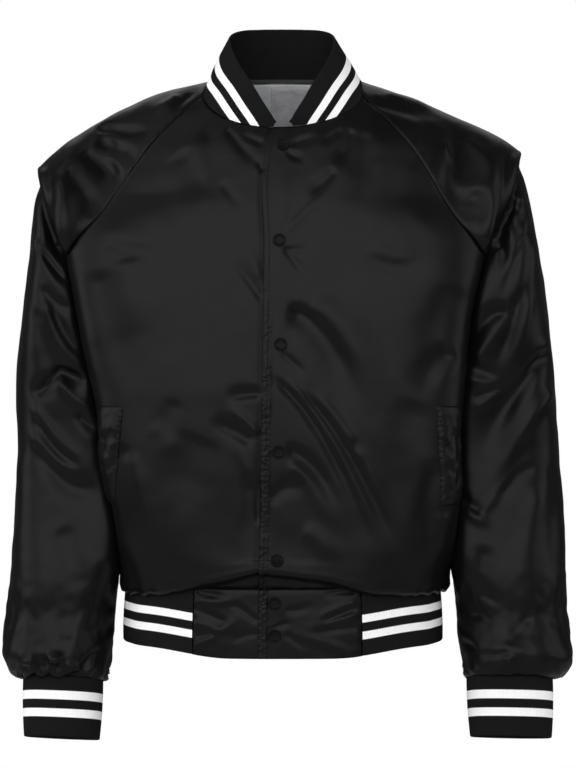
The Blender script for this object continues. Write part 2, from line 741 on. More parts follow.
# The right front runs on beneath the left one, parallel to it and a little lower.
lap_columns = np.arange(int(np.searchsorted(left_across[LAP_ROW], LAP)), 0, -1)
hidden = (LEFT_FRONT - left_out * LAP_DROP)[:, lap_columns]
# the two fronts have the same number of rows but for the unequal lengths of their sides
rows_between = np.linspace(0, len(hidden) - 1, len(RIGHT_FRONT))
hidden = smooth(rows_between, np.arange(len(hidden), dtype=float), hidden.reshape(len(hidden), -1))
hidden = hidden.reshape(len(RIGHT_FRONT), -1, 3)
RIGHT_WHOLE = np.concatenate([hidden, RIGHT_FRONT], axis=1)
front_right = grid_mesh("front_right_satin", RIGHT_WHOLE, True)
make_up(front_right, 0.0, distances(RIGHT_WHOLE, 1) + NO_STITCHING)
wear(front_right, "front_right")

# ---------------------------------------------------------------- the back
# One raglan back of the same satin, cut without a centre seam. It hangs in long soft folds from
# the shoulder blades and blouses over the waistband like the fronts.

BACK_CREASES = table(
    CREASE_COLUMNS,
    (-196, -222, -160, -270, -118, -380, 20, -6, 0.3),
    (-176, -226, -130, -262, -92, -350, 15, 3.5, 0),
    (-200, -300, -170, -350, -150, -430, 12, -3.5, 0.2),
    (190, -224, 150, -280, 112, -400, 19, -6, -0.3),
    (170, -226, 128, -270, 86, -340, 14, 3.5, 0),
    (196, -310, 172, -360, 158, -440, 13, -3.5, 0),
    (-70, -150, 0, -186, 66, -156, 22, -3, 0),
    (-96, -110, -40, -130, 20, -118, 16, 2, 0),
    (-74, -430, -64, -490, -40, -560, 15, -5, 0.3),
    (-52, -440, -44, -500, -22, -555, 10, 3, 0),
    (52, -400, 70, -480, 92, -560, 16, -5, -0.3),
    (76, -420, 92, -490, 116, -556, 10, 3, 0),
    (-150, -470, -136, -520, -128, -565, 11, -3.5, 0),
    (150, -480, 148, -525, 140, -565, 11, -3.5, 0),
    (10, -470, 18, -520, 16, -562, 9, -3, 0.2),
    (-130, -60, -104, -96, -92, -150, 13, -3, 0.2),
    (118, -56, 98, -92, 92, -146, 13, -3, -0.2),
    (-60, -8, -44, -34, -40, -70, 9, -2, 0),
    (56, -8, 44, -30, 42, -62, 9, -2, 0),
)
BACK_SHARES = np.linspace(0, 1, 84)
BACK_GATHERS = 2.0

back_halves = [half_panel(side, 1, body_middle, BACK_SHARES) for side in (-1, 1)]
back_rows, back_knots = finer_rows(
    np.concatenate([back_halves[0][:, ::-1], back_halves[1][:, 1:]], axis=1)
)
back_out = normals_of(back_rows, True)
back_down, back_across = distances(back_rows, 0), distances(back_rows, 1)
back_lift = creased(back_rows, back_out, BACK_CREASES, 1)
back_lift += unevenness(back_rows, 1.5, 66.0, 7) + unevenness(back_rows, 0.5, 24.0, 9)
back_above = back_down[-1] - back_down
back_lift += gathers(back_across, back_above, BACK_GATHERS, 4)
back_edge = np.minimum(back_across, back_across[:, -1:] - back_across)
back_lift += seam_groove(back_edge, back_down)
back_lift *= ease(back_above / SEAM_HOLDS)
BACK = back_rows + back_out * back_lift[..., None]

back = grid_mesh("back_satin", BACK, True, back_across, back_down)
make_up(back, 0.0, NO_STITCHING)
wear(back, "back")

# ---------------------------------------------------------------- the sleeves
# Raglan sleeves of one piece each, sewn to the fronts and the back. The cloth breaks over the
# shoulder's tip and hangs from there in slanting folds, and is gathered into the cuff.

RIDGE_COLUMNS = "x y z front_reach ridge_reach back_reach"
RIGHT_RIDGE = table(
    RIDGE_COLUMNS,
    (-89,  8, 9,   14,  24,  24),
    (-142, 6, -5,  26,  36,  34),
    (-192, 4, -26, 34,  48,  42),
    (-238, 2, -52, 44,  62,  50),
    (-272, 0, -77, 64,  80,  66),
    (-292, 0, -97, 106, 104, 106),
)
LEFT_RIDGE = table(
    RIDGE_COLUMNS,
    (94,  8, 8,   14,  24,  24),
    (138, 6, -6,  26,  36,  34),
    (186, 4, -25, 34,  48,  42),
    (232, 2, -46, 44,  62,  50),
    (264, 0, -63, 64,  80,  66),
    (284, 0, -78, 106, 104, 106),
)
ARM_COLUMNS = "outer_x outer_z inner_x inner_z middle depth"
RIGHT_ARM = table(
    ARM_COLUMNS,
    (-287, -105, -254,   -223, 0,   71),
    (-293, -128, -254.5, -231, 1,   76),
    (-298, -162, -252.5, -241, 3,   82),
    (-302, -204, -249.5, -256, 5,   87),
    (-307, -248, -245,   -278, 7,   89),
    (-313, -294, -238.5, -310, 9,   88),
    (-318, -342, -229,   -350, 10,  84),
    (-319, -388, -221,   -392, 10,  80),
    (-318, -434, -218,   -436, 8,   76),
    (-319, -480, -208,   -480, 3,   72),
    (-321, -528, -200,   -524, -5,  69),
    (-323, -576, -198.5, -570, -15, 67),
    (-328, -620, -199,   -616, -25, 66),
    (-330, -660, -201,   -656, -34, 64),
    (-326, -684, -205,   -684, -38, 60),
    (-317, -697, -208,   -700, -42, 51),
    (-310, -700, -210,   -704, -44, 44),
    (-305, -700, -212,   -704, -45, 40),
)
LEFT_ARM = table(
    ARM_COLUMNS,
    (280, -86,  237,   -223, 0,   72),
    (288, -112, 237,   -231, 1,   77),
    (297, -152, 235,   -241, 3,   83),
    (305, -198, 231,   -256, 5,   88),
    (313, -246, 226,   -278, 7,   90),
    (319, -294, 220.5, -310, 9,   88),
    (324, -342, 217,   -350, 10,  84),
    (327, -388, 213,   -392, 10,  80),
    (331, -434, 211,   -436, 8,   76),
    (334, -480, 210,   -480, 3,   72),
    (337, -528, 207.5, -524, -5,  69),
    (336, -576, 206,   -570, -15, 67),
    (337, -620, 206,   -616, -25, 66),
    (340, -660, 208,   -656, -34, 64),
    (340, -686, 212,   -680, -38, 60),
    (331, -699, 213.5, -696, -42, 51),
    (323, -702, 215,   -700, -44, 44),
    (317, -702, 216.5, -700, -45, 40),
)
SLEEVE_ROUNDNESS = 2.45
INNER_ROUNDNESS = {-1: 8.0, 1: 4.0}  # of a pressed arm's inner quarters, in front and behind
CUFF_GATHERS = {-1: 3.2, 1: 1.3}  # how far they stand out on each sleeve
CRUMPLED_Z, CRUMPLED_OVER = -530.0, 90.0  # small wrinkles gather below this height
SLEEVE_FOLDS = 1.25  # how much deeper the sleeves' creases are than their tables say
CAP_CLOSES_FROM = 0.45
SEAM_STEP = 6.0
SLEEVE_ROW_STEP = 3.7
SLEEVE_CREASES = table(
    CREASE_COLUMNS,
    # the wearer's right sleeve: the break below the shoulder's tip
    (-292, -102, -271, -184, -241, -238, 5, -4.2, 0.3),
    (-286, -94, -260, -176, -231, -230, 9, 3.5, 0),
    # its creases from the raglan seam
    (-224, -50, -186, -55, -146, -66, 8, -4.5, 0.2),
    (-220, -66, -196, -74, -162, -100, 10, -5, 0.2),
    (-234, -80, -208, -98, -174, -130, 9, -4.6, 0.2),
    (-254, -98, -232, -128, -202, -172, 12, -4.6, 0.2),
    (-262, -110, -252, -150, -240, -196, 9, 2.2, 0),
    (-122, -12, -136, -28, -160, -40, 8, 2.2, 0),
    (-108, -10, -116, -22, -134, -34, 5, -2, 0),
    # and down the arm
    (-292, -180, -280, -214, -246, -262, 6, 3, 0),
    (-284, -196, -262, -226, -240, -246, 6, -3.4, 0.3),
    (-280, -240, -262, -270, -238, -268, 6, -2.8, 0.2),
    (-278, -254, -264, -316, -224, -342, 6, 3.4, 0),
    (-268, -262, -250, -310, -228, -326, 6, -3, 0.3),
    (-290, -262, -278, -320, -262, -346, 7, -2.2, 0),
    (-266, -334, -246, -346, -222, -354, 8, -8, 0.3),
    (-260, -344, -278, -350, -290, -376, 7, -5, 0),
    (-264, -346, -248, -374, -212, -392, 5, 3.2, 0),
    (-240, -388, -226, -404, -214, -410, 6, -4, 0),
    (-292, -366, -276, -356, -256, -356, 7, -3, 0.3),
    (-294, -374, -266, -426, -222, -454, 6, 3, 0),
    (-292, -390, -262, -440, -226, -462, 5, -3.2, 0.2),
    (-296, -404, -268, -466, -212, -452, 7, 3.2, 0),
    (-292, -420, -240, -506, -210, -462, 11, -4, 0.2),
    (-306, -430, -300, -520, -286, -600, 16, 2, 0),
    (-260, -520, -240, -560, -232, -620, 16, -2.5, 0),
    (-204, -560, -212, -604, -226, -654, 8, -3.4, 0.3),
    (-214, -600, -232, -630, -246, -672, 7, 2.4, 0),
    (-350, -622, -262, -636, -130, -626, 34, -7, 0),
    # and its small folds above the cuff
    (-302, -688, -297, -681, -292, -687, 3.4, -3, 0),
    (-300, -680, -293, -672, -284, -674, 4, 4.2, 0),
    (-290, -668, -280, -678, -272, -688, 3.4, -4.4, 0.2),
    (-276, -668, -268, -680, -264, -689, 3.4, -4.2, 0.2),
    (-272, -672, -260, -670, -249, -676, 6, 5.4, 0),
    (-254, -675, -259, -682, -262, -689, 3.4, -4, 0),
    (-252, -678, -241, -681, -231, -686, 4, 4, 0),
    (-232, -686, -222, -674, -210, -660, 3.8, -4.4, 0.2),
    # the wearer's left sleeve: the break
    (284, -84, 268, -150, 229, -232, 5, -4.2, -0.3),
    (276, -80, 256, -146, 218, -226, 9, 3.2, 0),
    # its creases from the raglan seam
    (100, -22, 140, -34, 186, -38, 9, -3, 0),
    (118, -12, 156, -14, 190, -28, 8, 2, 0),
    (186, -72, 194, -104, 198, -132, 7, 1.8, 0),
    (218, -132, 232, -150, 222, -184, 14, -3, 0),
    (196, -128, 222, -124, 244, -134, 10, 2.2, 0),
    (214, -64, 236, -92, 254, -124, 9, 1.6, 0),
    # and down the arm
    (262, -134, 282, -134, 282, -158, 5, 2.8, 0),
    (256, -158, 276, -140, 288, -160, 5, -2.8, 0),
    (250, -176, 272, -162, 262, -212, 5, 2.8, 0),
    (246, -196, 262, -186, 252, -234, 5, -3, 0),
    (290, -156, 268, -200, 246, -262, 6, 2.8, 0),
    (282, -176, 266, -220, 250, -262, 6, -3.2, 0.3),
    (296, -186, 284, -232, 272, -264, 8, 2, 0),
    (290, -200, 286, -236, 262, -296, 6, -2.6, 0.2),
    (262, -270, 226, -272, 210, -332, 10, -6, 0.2),
    (224, -330, 240, -300, 268, -276, 7, 2.6, 0),
    (276, -250, 264, -296, 246, -350, 7, -3, 0.2),
    (290, -250, 278, -300, 256, -352, 7, 2.6, 0),
    (212, -332, 232, -336, 254, -350, 7, -3.4, 0.2),
    (206, -346, 230, -354, 262, -358, 5, 2, 0),
    (222, -386, 250, -368, 272, -352, 4.5, 2.4, 0),
    (220, -372, 244, -364, 262, -352, 4, -2.2, 0),
    (318, -316, 276, -346, 216, -460, 14, -8.5, 0.3),
    (316, -300, 286, -326, 256, -368, 8, 3, 0),
    (318, -358, 284, -392, 228, -504, 9, 4.4, 0),
    (246, -494, 280, -440, 300, -456, 6, -3, 0.3),
    (228, -512, 256, -470, 292, -444, 5, 2.4, 0),
    (214, -494, 224, -520, 246, -512, 6, 3, 0),
    (206, -476, 216, -508, 236, -500, 6, -3.4, 0),
    (300, -470, 290, -530, 262, -620, 14, 2.6, 0),
    (320, -440, 322, -520, 314, -600, 12, -3, 0),
    (236, -540, 228, -590, 226, -640, 13, -3, 0),
    (222, -610, 236, -606, 246, -622, 6, 2.2, 0),
    (214, -624, 232, -620, 244, -640, 5, -2.2, 0),
    (290, -618, 272, -634, 262, -660, 7, -2.2, 0),
    (366, -622, 272, -636, 140, -626, 34, -7, 0),
    # and its small folds above the cuff
    (196, -652, 213, -657, 225, -668, 4, -2.6, 0.2),
    (225, -668, 254, -670, 270, -659, 4, -2, 0),
    (257, -677, 259, -671, 266, -669, 4, 2.2, 0),
    (213, -687, 243, -691, 275, -688, 4, 1.8, 0),
)
# Folds of the same kind on the backs of the arms, and across their outer sides.
SLEEVE_BACK_CREASES = table(
    CREASE_COLUMNS,
    (-292, -104, -272, -180, -246, -232, 7, -5.5, 0.3),
    (-300, -190, -270, -260, -226, -330, 9, -5, 0.3),
    (-306, -210, -284, -276, -240, -340, 8, 3, 0),
    (-310, -300, -272, -360, -224, -420, 9, -5, 0.3),
    (-314, -330, -286, -384, -232, -440, 7, 3, 0),
    (-300, -420, -262, -440, -222, -520, 11, -4, 0.2),
    (-290, -500, -262, -560, -250, -640, 12, -3.5, 0.2),
    (-218, -48, -196, -76, -182, -112, 8, -3, 0.3),
    (-246, -80, -226, -112, -212, -150, 8, -3, 0.3),
    (284, -86, 270, -150, 236, -226, 7, -5.5, -0.3),
    (304, -180, 276, -252, 226, -320, 9, -5, 0.3),
    (310, -206, 284, -272, 236, -336, 8, 3, 0),
    (318, -292, 280, -350, 224, -424, 9, -5, 0.3),
    (320, -322, 290, -380, 234, -444, 7, 3, 0),
    (316, -410, 272, -440, 222, -520, 11, -4, 0.2),
    (304, -490, 276, -556, 252, -640, 12, -3.5, 0.2),
    (206, -44, 190, -70, 176, -106, 8, -3, 0.3),
    (238, -72, 222, -106, 206, -148, 8, -3, 0.3),
)
WRIST_Z, WRIST_BEND = -640.0, 50.0
CUFF_TILT = 0.22  # how far the wrist comes forward for each millimetre it drops
ARM_HALF = np.linspace(0, 1, 66)  # shares of the way round the front, and round the back
CAP_ROWS = SEAM_STATIONS
# The arm's inner side is pressed against the body, and rolls over the front's side a little.
PRESSED_FROM, PRESSED_TO = -214.0, -604.0
TOUCH = 0.9  # what is left between them
ROLL, ROLL_Y, ROLL_WIDTH = 6.0, -52.0, 26.0


def against_body(ring, z, side):
    """How far the points of an arm's ring lie towards the body."""
    inner_x = ring[:, 0].min() if side > 0 else ring[:, 0].max()
    half = (ring[:, 0].max() - ring[:, 0].min()) / 2
    body_side = body_at("shift", z) + side * body_at("front_half", z)
    press = max(side * (inner_x - body_side) - TOUCH, 0.0)
    inner = ease((inner_x + side * half - ring[:, 0]) * side / half / 0.8)
    held = ease((PRESSED_FROM - z) / 8.0) * ease((z - PRESSED_TO) / 40.0)
    roll = ROLL * np.exp(-(((ring[:, 1] - ROLL_Y) / ROLL_WIDTH) ** 2))
    return -side * inner * held * (press + roll)


def bezier(a, b, c, d):
    t = np.linspace(0, 1, FINE)[:, None]
    return (1 - t) ** 3 * a + 3 * t * (1 - t) ** 2 * b + 3 * t * t * (1 - t) * c + t**3 * d


def leaving(seam_point, ridge_point, face):
    """The direction in which the body's surface crosses the seam towards the shoulder ridge."""
    step = unit((ridge_point - seam_point)[[0, 2]]) * SEAM_STEP
    before = seam_point[[0, 2]] - step
    y = surface_y(before[0], before[1], face)
    return unit(seam_point - np.array([before[0], y, before[1]]))


def sleeve_rows(side, ridge_table, arm):
    """A sleeve in rows from the neck over the shoulder, then in rings down the arm."""
    seams = {-1: raglan(side, -1), 1: raglan(side, 1)}
    at = np.linspace(0, len(ridge_table["x"]) - 1, CAP_ROWS)
    knots = np.arange(len(ridge_table["x"]), dtype=float)
    ridge = {name: smooth(at, knots, values) for name, values in ridge_table.items()}
    rows = []
    for j in range(CAP_ROWS):
        top = np.array([ridge["x"][j], ridge["y"][j], ridge["z"][j]])
        closing = ease((j / (CAP_ROWS - 1) - CAP_CLOSES_FROM) / (1 - CAP_CLOSES_FROM))
        halves = []
        for face, reach in ((-1, "front_reach"), (1, "back_reach")):
            start = seams[face][j]
            forward = np.array([0.0, float(face), 0.0])
            leave = unit((1 - closing) * leaving(start, top, face) + closing * forward)
            over = top + forward * ridge["ridge_reach"][j]
            line = bezier(start, start + leave * ridge[reach][j], over, top)
            halves.append(divide(line, ARM_HALF))
        rows.append(np.concatenate([halves[0], halves[1][::-1][1:]]))
    turn = np.linspace(0, np.pi, FINE)
    for outer_x, outer_z, inner_x, inner_z, middle, depth in zip(*arm.values()):
        inner, outer = np.array([inner_x, middle, inner_z]), np.array([outer_x, middle, outer_z])
        squarer = ease((PRESSED_FROM - inner_z) / 40.0) * ease((inner_z - PRESSED_TO) / 80.0)
        halves = []
        for face in (-1, 1):
            inner_power = SLEEVE_ROUNDNESS + (INNER_ROUNDNESS[face] - SLEEVE_ROUNDNESS) * squarer
            power = np.where(np.cos(turn) > 0, inner_power, SLEEVE_ROUNDNESS)
            swing = np.sign(np.cos(turn)) * np.abs(np.cos(turn)) ** (2 / power)
            line = (inner + outer) / 2 + (inner - outer) / 2 * swing[:, None]
            line[:, 1] += face * depth * np.sin(turn) ** (2 / power)
            halves.append(divide(line, ARM_HALF))
        ring = np.concatenate([halves[0], halves[1][::-1][1:]])
        ring[:, 0] += against_body(ring, inner_z, side)
        rows.append(ring)
    return np.array(rows)


def sleeve(side, ridge_table, arm, seed):
    """One sleeve: its plain and finished points, and its distances round and down the arm."""
    grid, knots = finer_rows(sleeve_rows(side, ridge_table, arm), SLEEVE_ROW_STEP)
    turned = ease((WRIST_Z - grid[..., 2]) / WRIST_BEND)
    grid[..., 2] -= CUFF_TILT * (grid[..., 1] - arm["middle"][-1]) * turned
    out = normals_of(grid, side < 0)
    closed = int(np.ceil(knots[CAP_ROWS]))
    down, across = distances(grid, 0), distances(grid, 1)
    lift = creased(grid, out, SLEEVE_CREASES, -1) + creased(grid, out, SLEEVE_BACK_CREASES, 1)
    lift *= SLEEVE_FOLDS
    lift += unevenness(grid, 1.5, 58.0, seed) + unevenness(grid, 0.6, 22.0, seed + 2)
    crumpled = ease((CRUMPLED_Z - grid[..., 2]) / CRUMPLED_OVER)
    lift += unevenness(grid, 1.3, 13.0, seed + 4) * crumpled
    above = down[-1] - down
    lift += gathers(across, above, CUFF_GATHERS[side], seed)
    to_seam = np.minimum(across, across[:, -1:] - across)
    open_rows = ease((closed + 4 - np.arange(len(grid))) / 6.0)[:, None]
    lift += seam_groove(to_seam, down) * open_rows
    lift[closed:, -1] = lift[closed:, 0] = (lift[closed:, 0] + lift[closed:, -1]) / 2
    out[closed:, 0] = out[closed:, -1] = unit(out[closed:, 0] + out[closed:, -1])
    lift *= ease(above / SEAM_HOLDS)
    return grid, grid + out * lift[..., None], across, down, closed


SLEEVE_TOPS, SLEEVE_ENDS = {}, {}
for name, side, ridge_table, arm, seed in (
    ("sleeve_right", -1, RIGHT_RIDGE, RIGHT_ARM, 12),
    ("sleeve_left", 1, LEFT_RIDGE, LEFT_ARM, 15),
):
    plain, points, across, down, closed = sleeve(side, ridge_table, arm, seed)
    SLEEVE_TOPS[name], SLEEVE_ENDS[name] = plain[0], plain[-1]
    piece = grid_mesh(f"{name}_satin", points, side < 0, across, down, closed)
    make_up(piece, 0.0, NO_STITCHING, SATIN)
    wear(piece, name)

# ---------------------------------------------------------------- pocket welts
# A slanted welt of satin, folded double, on each front near the side seam. It is edge-stitched,
# tacked at both ends, and crumpled where the hand goes in.

WELT_ROWS = (5, 8)  # the body's rows at its two ends
WELT_EDGE = {"left": (175.0, 181.0), "right": (181.0, 193.0)}  # X of its front edge, at both ends
WELT_WIDTH = 33.0
WELT_LIFT = 2.2
WELT_WALL = 1.4
WELT_STITCHED = 4.2  # added to the distance from its edge, which brings the stitching nearer to it
WELT_DOWN, WELT_ACROSS = 46, 18
WELT_BASE = 0.5
WELT_SEWN, WELT_TACKED = 0.22, 0.07  # shares of its width and its length that lie flatter
WELT_PAST = 30  # columns of a front that lie nearer the middle than the welt does


def read_at(grid, rows, columns):
    """Points of a grid at fractional rows and columns."""
    r = np.minimum(rows.astype(int), grid.shape[0] - 2)
    c = np.minimum(columns.astype(int), grid.shape[1] - 2)
    u, v = (rows - r)[..., None], (columns - c)[..., None]
    top = grid[r, c] * (1 - v) + grid[r, c + 1] * v
    return top * (1 - u) + (grid[r + 1, c] * (1 - v) + grid[r + 1, c + 1] * v) * u


def pocket_welt(side, front, out, knots, seed):
    share = np.linspace(0, 1, WELT_DOWN)[:, None]
    across = np.linspace(0, 1, WELT_ACROSS)[None, :]
    ends = [knots[SEAM_STATIONS - 1 + row] for row in WELT_ROWS]
    rows = ends[0] + (ends[1] - ends[0]) * share + 0 * across
    edge = WELT_EDGE[side][0] + (WELT_EDGE[side][1] - WELT_EDGE[side][0]) * share[:, 0]
    all_columns = np.arange(len(FRONT_SHARES), dtype=float)
    cloth = read_at(front, rows[:, :1] + 0 * all_columns, 0 * rows[:, :1] + all_columns)
    travelled = distances(cloth, 1)
    columns = np.empty_like(rows)
    for i, begin in enumerate(edge):
        outer = slice(WELT_PAST, None)
        start = np.interp(begin, np.abs(cloth[i, outer, 0]), travelled[i, outer])
        columns[i] = np.interp(start + WELT_WIDTH * across[0], travelled[i], all_columns)
    normals = unit(read_at(out, rows, columns))
    grid = read_at(front, rows, columns)
    hand = np.sin(np.pi * share) ** 0.7 * np.ones_like(across)
    crumple = unevenness(grid, 2.0, 12.0, seed) + unevenness(grid, 1.1, 6.0, seed + 1)
    sewn = ease(across / WELT_SEWN) * ease(share / WELT_TACKED) * ease((1 - share) / WELT_TACKED)
    lift = WELT_BASE + WELT_LIFT * sewn + hand * ease(across / 0.1) * (0.6 + crumple)
    grid = grid + normals * lift[..., None]
    over = distances(grid, 1)
    welt = grid_mesh(f"pocket_welt_{side}_satin", grid, side == "right")
    make_up(welt, 0.5 * ease((9.0 - over) / 6.0), over + WELT_STITCHED, wall=WELT_WALL)
    wear(welt, f"pocket_welt_{side}")


pocket_welt("left", LEFT_FRONT, left_out, left_knots, 31)
pocket_welt("right", RIGHT_FRONT, right_out, right_knots, 35)

# ---------------------------------------------------------------- the collar
# A stand-up collar of knit rib, folded double along its free edge and sewn into the neck seam.
# Two white stripes are knitted into its outside. Its front ends taper to a point.

COLLAR_EDGE = table(
    "share x   y    z    bow",
    (0,    9,  -92, -53, 0),
    (0.1,  15, -90, -41, 0.5),
    (0.2,  24, -84, -25, 1.5),
    (0.32, 36, -74, -3,  3),
    (0.44, 51, -52, 22,  4),
    (0.56, 61, -20, 47,  4.5),
    (0.68, 62, 18,  67,  4),
    (0.8,  48, 52,  79,  3),
    (0.9,  25, 69,  83,  2.5),
    (1,    0,  74,  84,  2.5),
)
COLLAR_LEAN = 2.0
COLLAR_ROWS, COLLAR_TURNS_AT = 15, 0.975  # the share of its height at which it folds over
RIB_WALL = 2.6
RIB_PITCH = 3.0
LOOP_PITCH = 1.3  # from one row of loops to the next
RIB_POINTS = 4  # across one rib
RIB_HEIGHT = 0.25
FOLD_TURNS = np.radians((30.0, 60.0, 90.0, 120.0, 150.0))
COLLAR_STRIPES = ((23.0, 33.0), (41.5, 51.5))  # distances from the free edge
COLLAR_SET_BACK_X = 11.5  # the left placket runs on past the collar's end
COLLAR_NARROWS = 0.18  # the stripes come this much closer together at the front


def make_rib(name, stripes):
    """Knit rib, black with white stripes at the given distances from its fold."""
    material, tree, shader = new_material(name, 0.9)
    around, from_fold = read_uv(tree)
    turn = times(tree, around, FULL_TURN / RIB_PITCH)
    tooth = times(tree, math_node(tree, "COSINE", turn), 0.16)
    at = math_node(tree, "ADD", from_fold, tooth)
    white = None
    for begin, end in stripes:
        low = math_node(tree, "MULTIPLY", math_node(tree, "SUBTRACT", at, begin), 2.2, clamp=True)
        high = math_node(tree, "MULTIPLY", math_node(tree, "SUBTRACT", end, at), 2.2, clamp=True)
        band = times(tree, low, high)
        white = band if white is None else math_node(tree, "ADD", white, band, clamp=True)
    yarn = use(tree, WEAVE, Pitch=0.9, Mottle_Size=5.0)
    tone = times(tree, math_node(tree, "SUBTRACT", yarn.outputs["Mottle"], 0.5), 0.16)
    colour = ramp(
        tree,
        math_node(tree, "ADD", times(tree, white, 0.9), tone, clamp=True),
        (0.0, (0.0058, 0.0058, 0.006)),
        (0.1, (0.0074, 0.0074, 0.0076)),
        (0.8, (0.88, 0.88, 0.88)),
        (1.0, (0.93, 0.93, 0.93)),
    )
    knit = math_node(tree, "SINE", times(tree, from_fold, FULL_TURN / LOOP_PITCH))
    slant = times(tree, knit, math_node(tree, "SINE", times(tree, turn, 2.0)))
    dress(tree, shader, colour, (slant, 0.16, 0.8), (yarn.outputs["Mottle"], 0.5, 0.5))
    shader.inputs["Specular IOR Level"].default_value = 0.12
    return material


def folded(outer, column_by_row):
    """Rib folded double, and its distances from the fold, from its outer face, seam to fold."""
    normals = normals_of(outer, column_by_row)
    radius = RIB_WALL / 2
    up, last = unit(outer[-1] - outer[-2]), normals[-1]
    centre = outer[-1] - last * radius
    turned = [centre + last * radius * np.cos(a) + up * radius * np.sin(a) for a in FOLD_TURNS]
    facing = [unit(last * np.cos(a) + up * np.sin(a)) for a in FOLD_TURNS]
    inner = (outer - normals * RIB_WALL)[::-1]
    grid = np.concatenate([outer, np.array(turned), inner])
    facing = np.concatenate([normals, np.array(facing), -normals[::-1]])
    rib = RIB_HEIGHT * np.cos(2 * np.pi * np.arange(grid.shape[1]) / RIB_POINTS)
    down = distances(grid, 0)
    fold_row = len(outer) + len(FOLD_TURNS) // 2
    return grid + facing * rib[None, :, None], down[fold_row] - down


def rib_count(length):
    return int(round(length / RIB_PITCH)) * RIB_POINTS


left_neck = left_rows[0][::-1][1:]
neck_line = np.concatenate([
    right_rows[0],
    SLEEVE_TOPS["sleeve_right"][1:],
    back_rows[0][1:],
    SLEEVE_TOPS["sleeve_left"][::-1][1:],
    left_neck[left_neck[:, 0] > COLLAR_SET_BACK_X],
])
neck_length = lengths(neck_line)[-1]
neck_line = divide(neck_line, np.linspace(0, 1, rib_count(neck_length) + 1))
neck_travel = lengths(neck_line)
nape = int(np.argmax(neck_line[:, 1]))
on_right = np.arange(len(neck_line)) <= nape
neck_share = np.where(
    on_right,
    neck_travel / neck_travel[nape],
    (neck_travel[-1] - neck_travel) / (neck_travel[-1] - neck_travel[nape]),
)
edge_shares = COLLAR_EDGE["share"]
collar_edge = np.stack([smooth(neck_share, edge_shares, COLLAR_EDGE[a]) for a in "xyz"], axis=1)
collar_edge[:, 0] *= np.where(on_right, -1.0, 1.0)
collar_edge[:, 0] -= COLLAR_LEAN * (1 - np.abs(np.linspace(-1, 1, len(neck_line))))
collar_bow = smooth(neck_share, edge_shares, COLLAR_EDGE["bow"])
neck_out = unit(neck_line * np.array([1.0, 1.0, 0.0]))
collar_rows = []
for v in np.linspace(0.0, COLLAR_TURNS_AT, COLLAR_ROWS):
    bow = neck_out * (collar_bow * np.sin(v * np.pi))[:, None]
    collar_rows.append(neck_line + (collar_edge - neck_line) * v + bow)
collar_points, from_fold = folded(np.array(collar_rows), False)
near_front = 1 - ease(neck_share / 0.5)
from_fold = from_fold * (1 + COLLAR_NARROWS * near_front)
collar = grid_mesh("collar_rib", collar_points, False, neck_travel, from_fold)
collar.data.materials.append(make_rib("collar rib", COLLAR_STRIPES))
wear(collar, "collar")

# ---------------------------------------------------------------- the cuffs
# Closed tubes of the same rib, folded double, that draw the sleeves' gathers together. They lean
# forward with the forearm.

CUFF_LENGTH = 66.0
CUFF_ROWS = 14
CUFF_FLARE, CUFF_BOW = 0.06, 0.02  # shares of its radius
CUFF_STRIPES = ((23.0, 33.0), (43.0, 53.5))

cuff_rib = make_rib("cuff rib", CUFF_STRIPES)
for side in ("right", "left"):
    top = SLEEVE_ENDS[f"sleeve_{side}"]
    top = divide(top, np.linspace(0, 1, rib_count(lengths(top)[-1]) + 1))
    centre = top[:-1].mean(axis=0)
    rows = []
    for share in np.linspace(0, 1, CUFF_ROWS):
        reach = 1 - CUFF_FLARE * share + CUFF_BOW * np.sin(np.pi * share)
        ring = centre + (top - centre) * reach
        rows.append(ring + np.array([0.0, -CUFF_TILT, -1.0]) * CUFF_LENGTH * share)
    points, from_fold = folded(np.array(rows), side == "right")
    points[:, -1] = points[:, 0]
    cuff = grid_mesh(f"cuff_{side}_rib", points, side == "right", lengths(top), from_fold, 0)
    cuff.data.materials.append(cuff_rib)
    wear(cuff, f"cuff_{side}")

# ---------------------------------------------------------------- the waistband
# Rib folded double runs round the back. At the front it is sewn to two tabs of satin, the left
# one lapping over the right one, which pucker where the rib pulls on them.

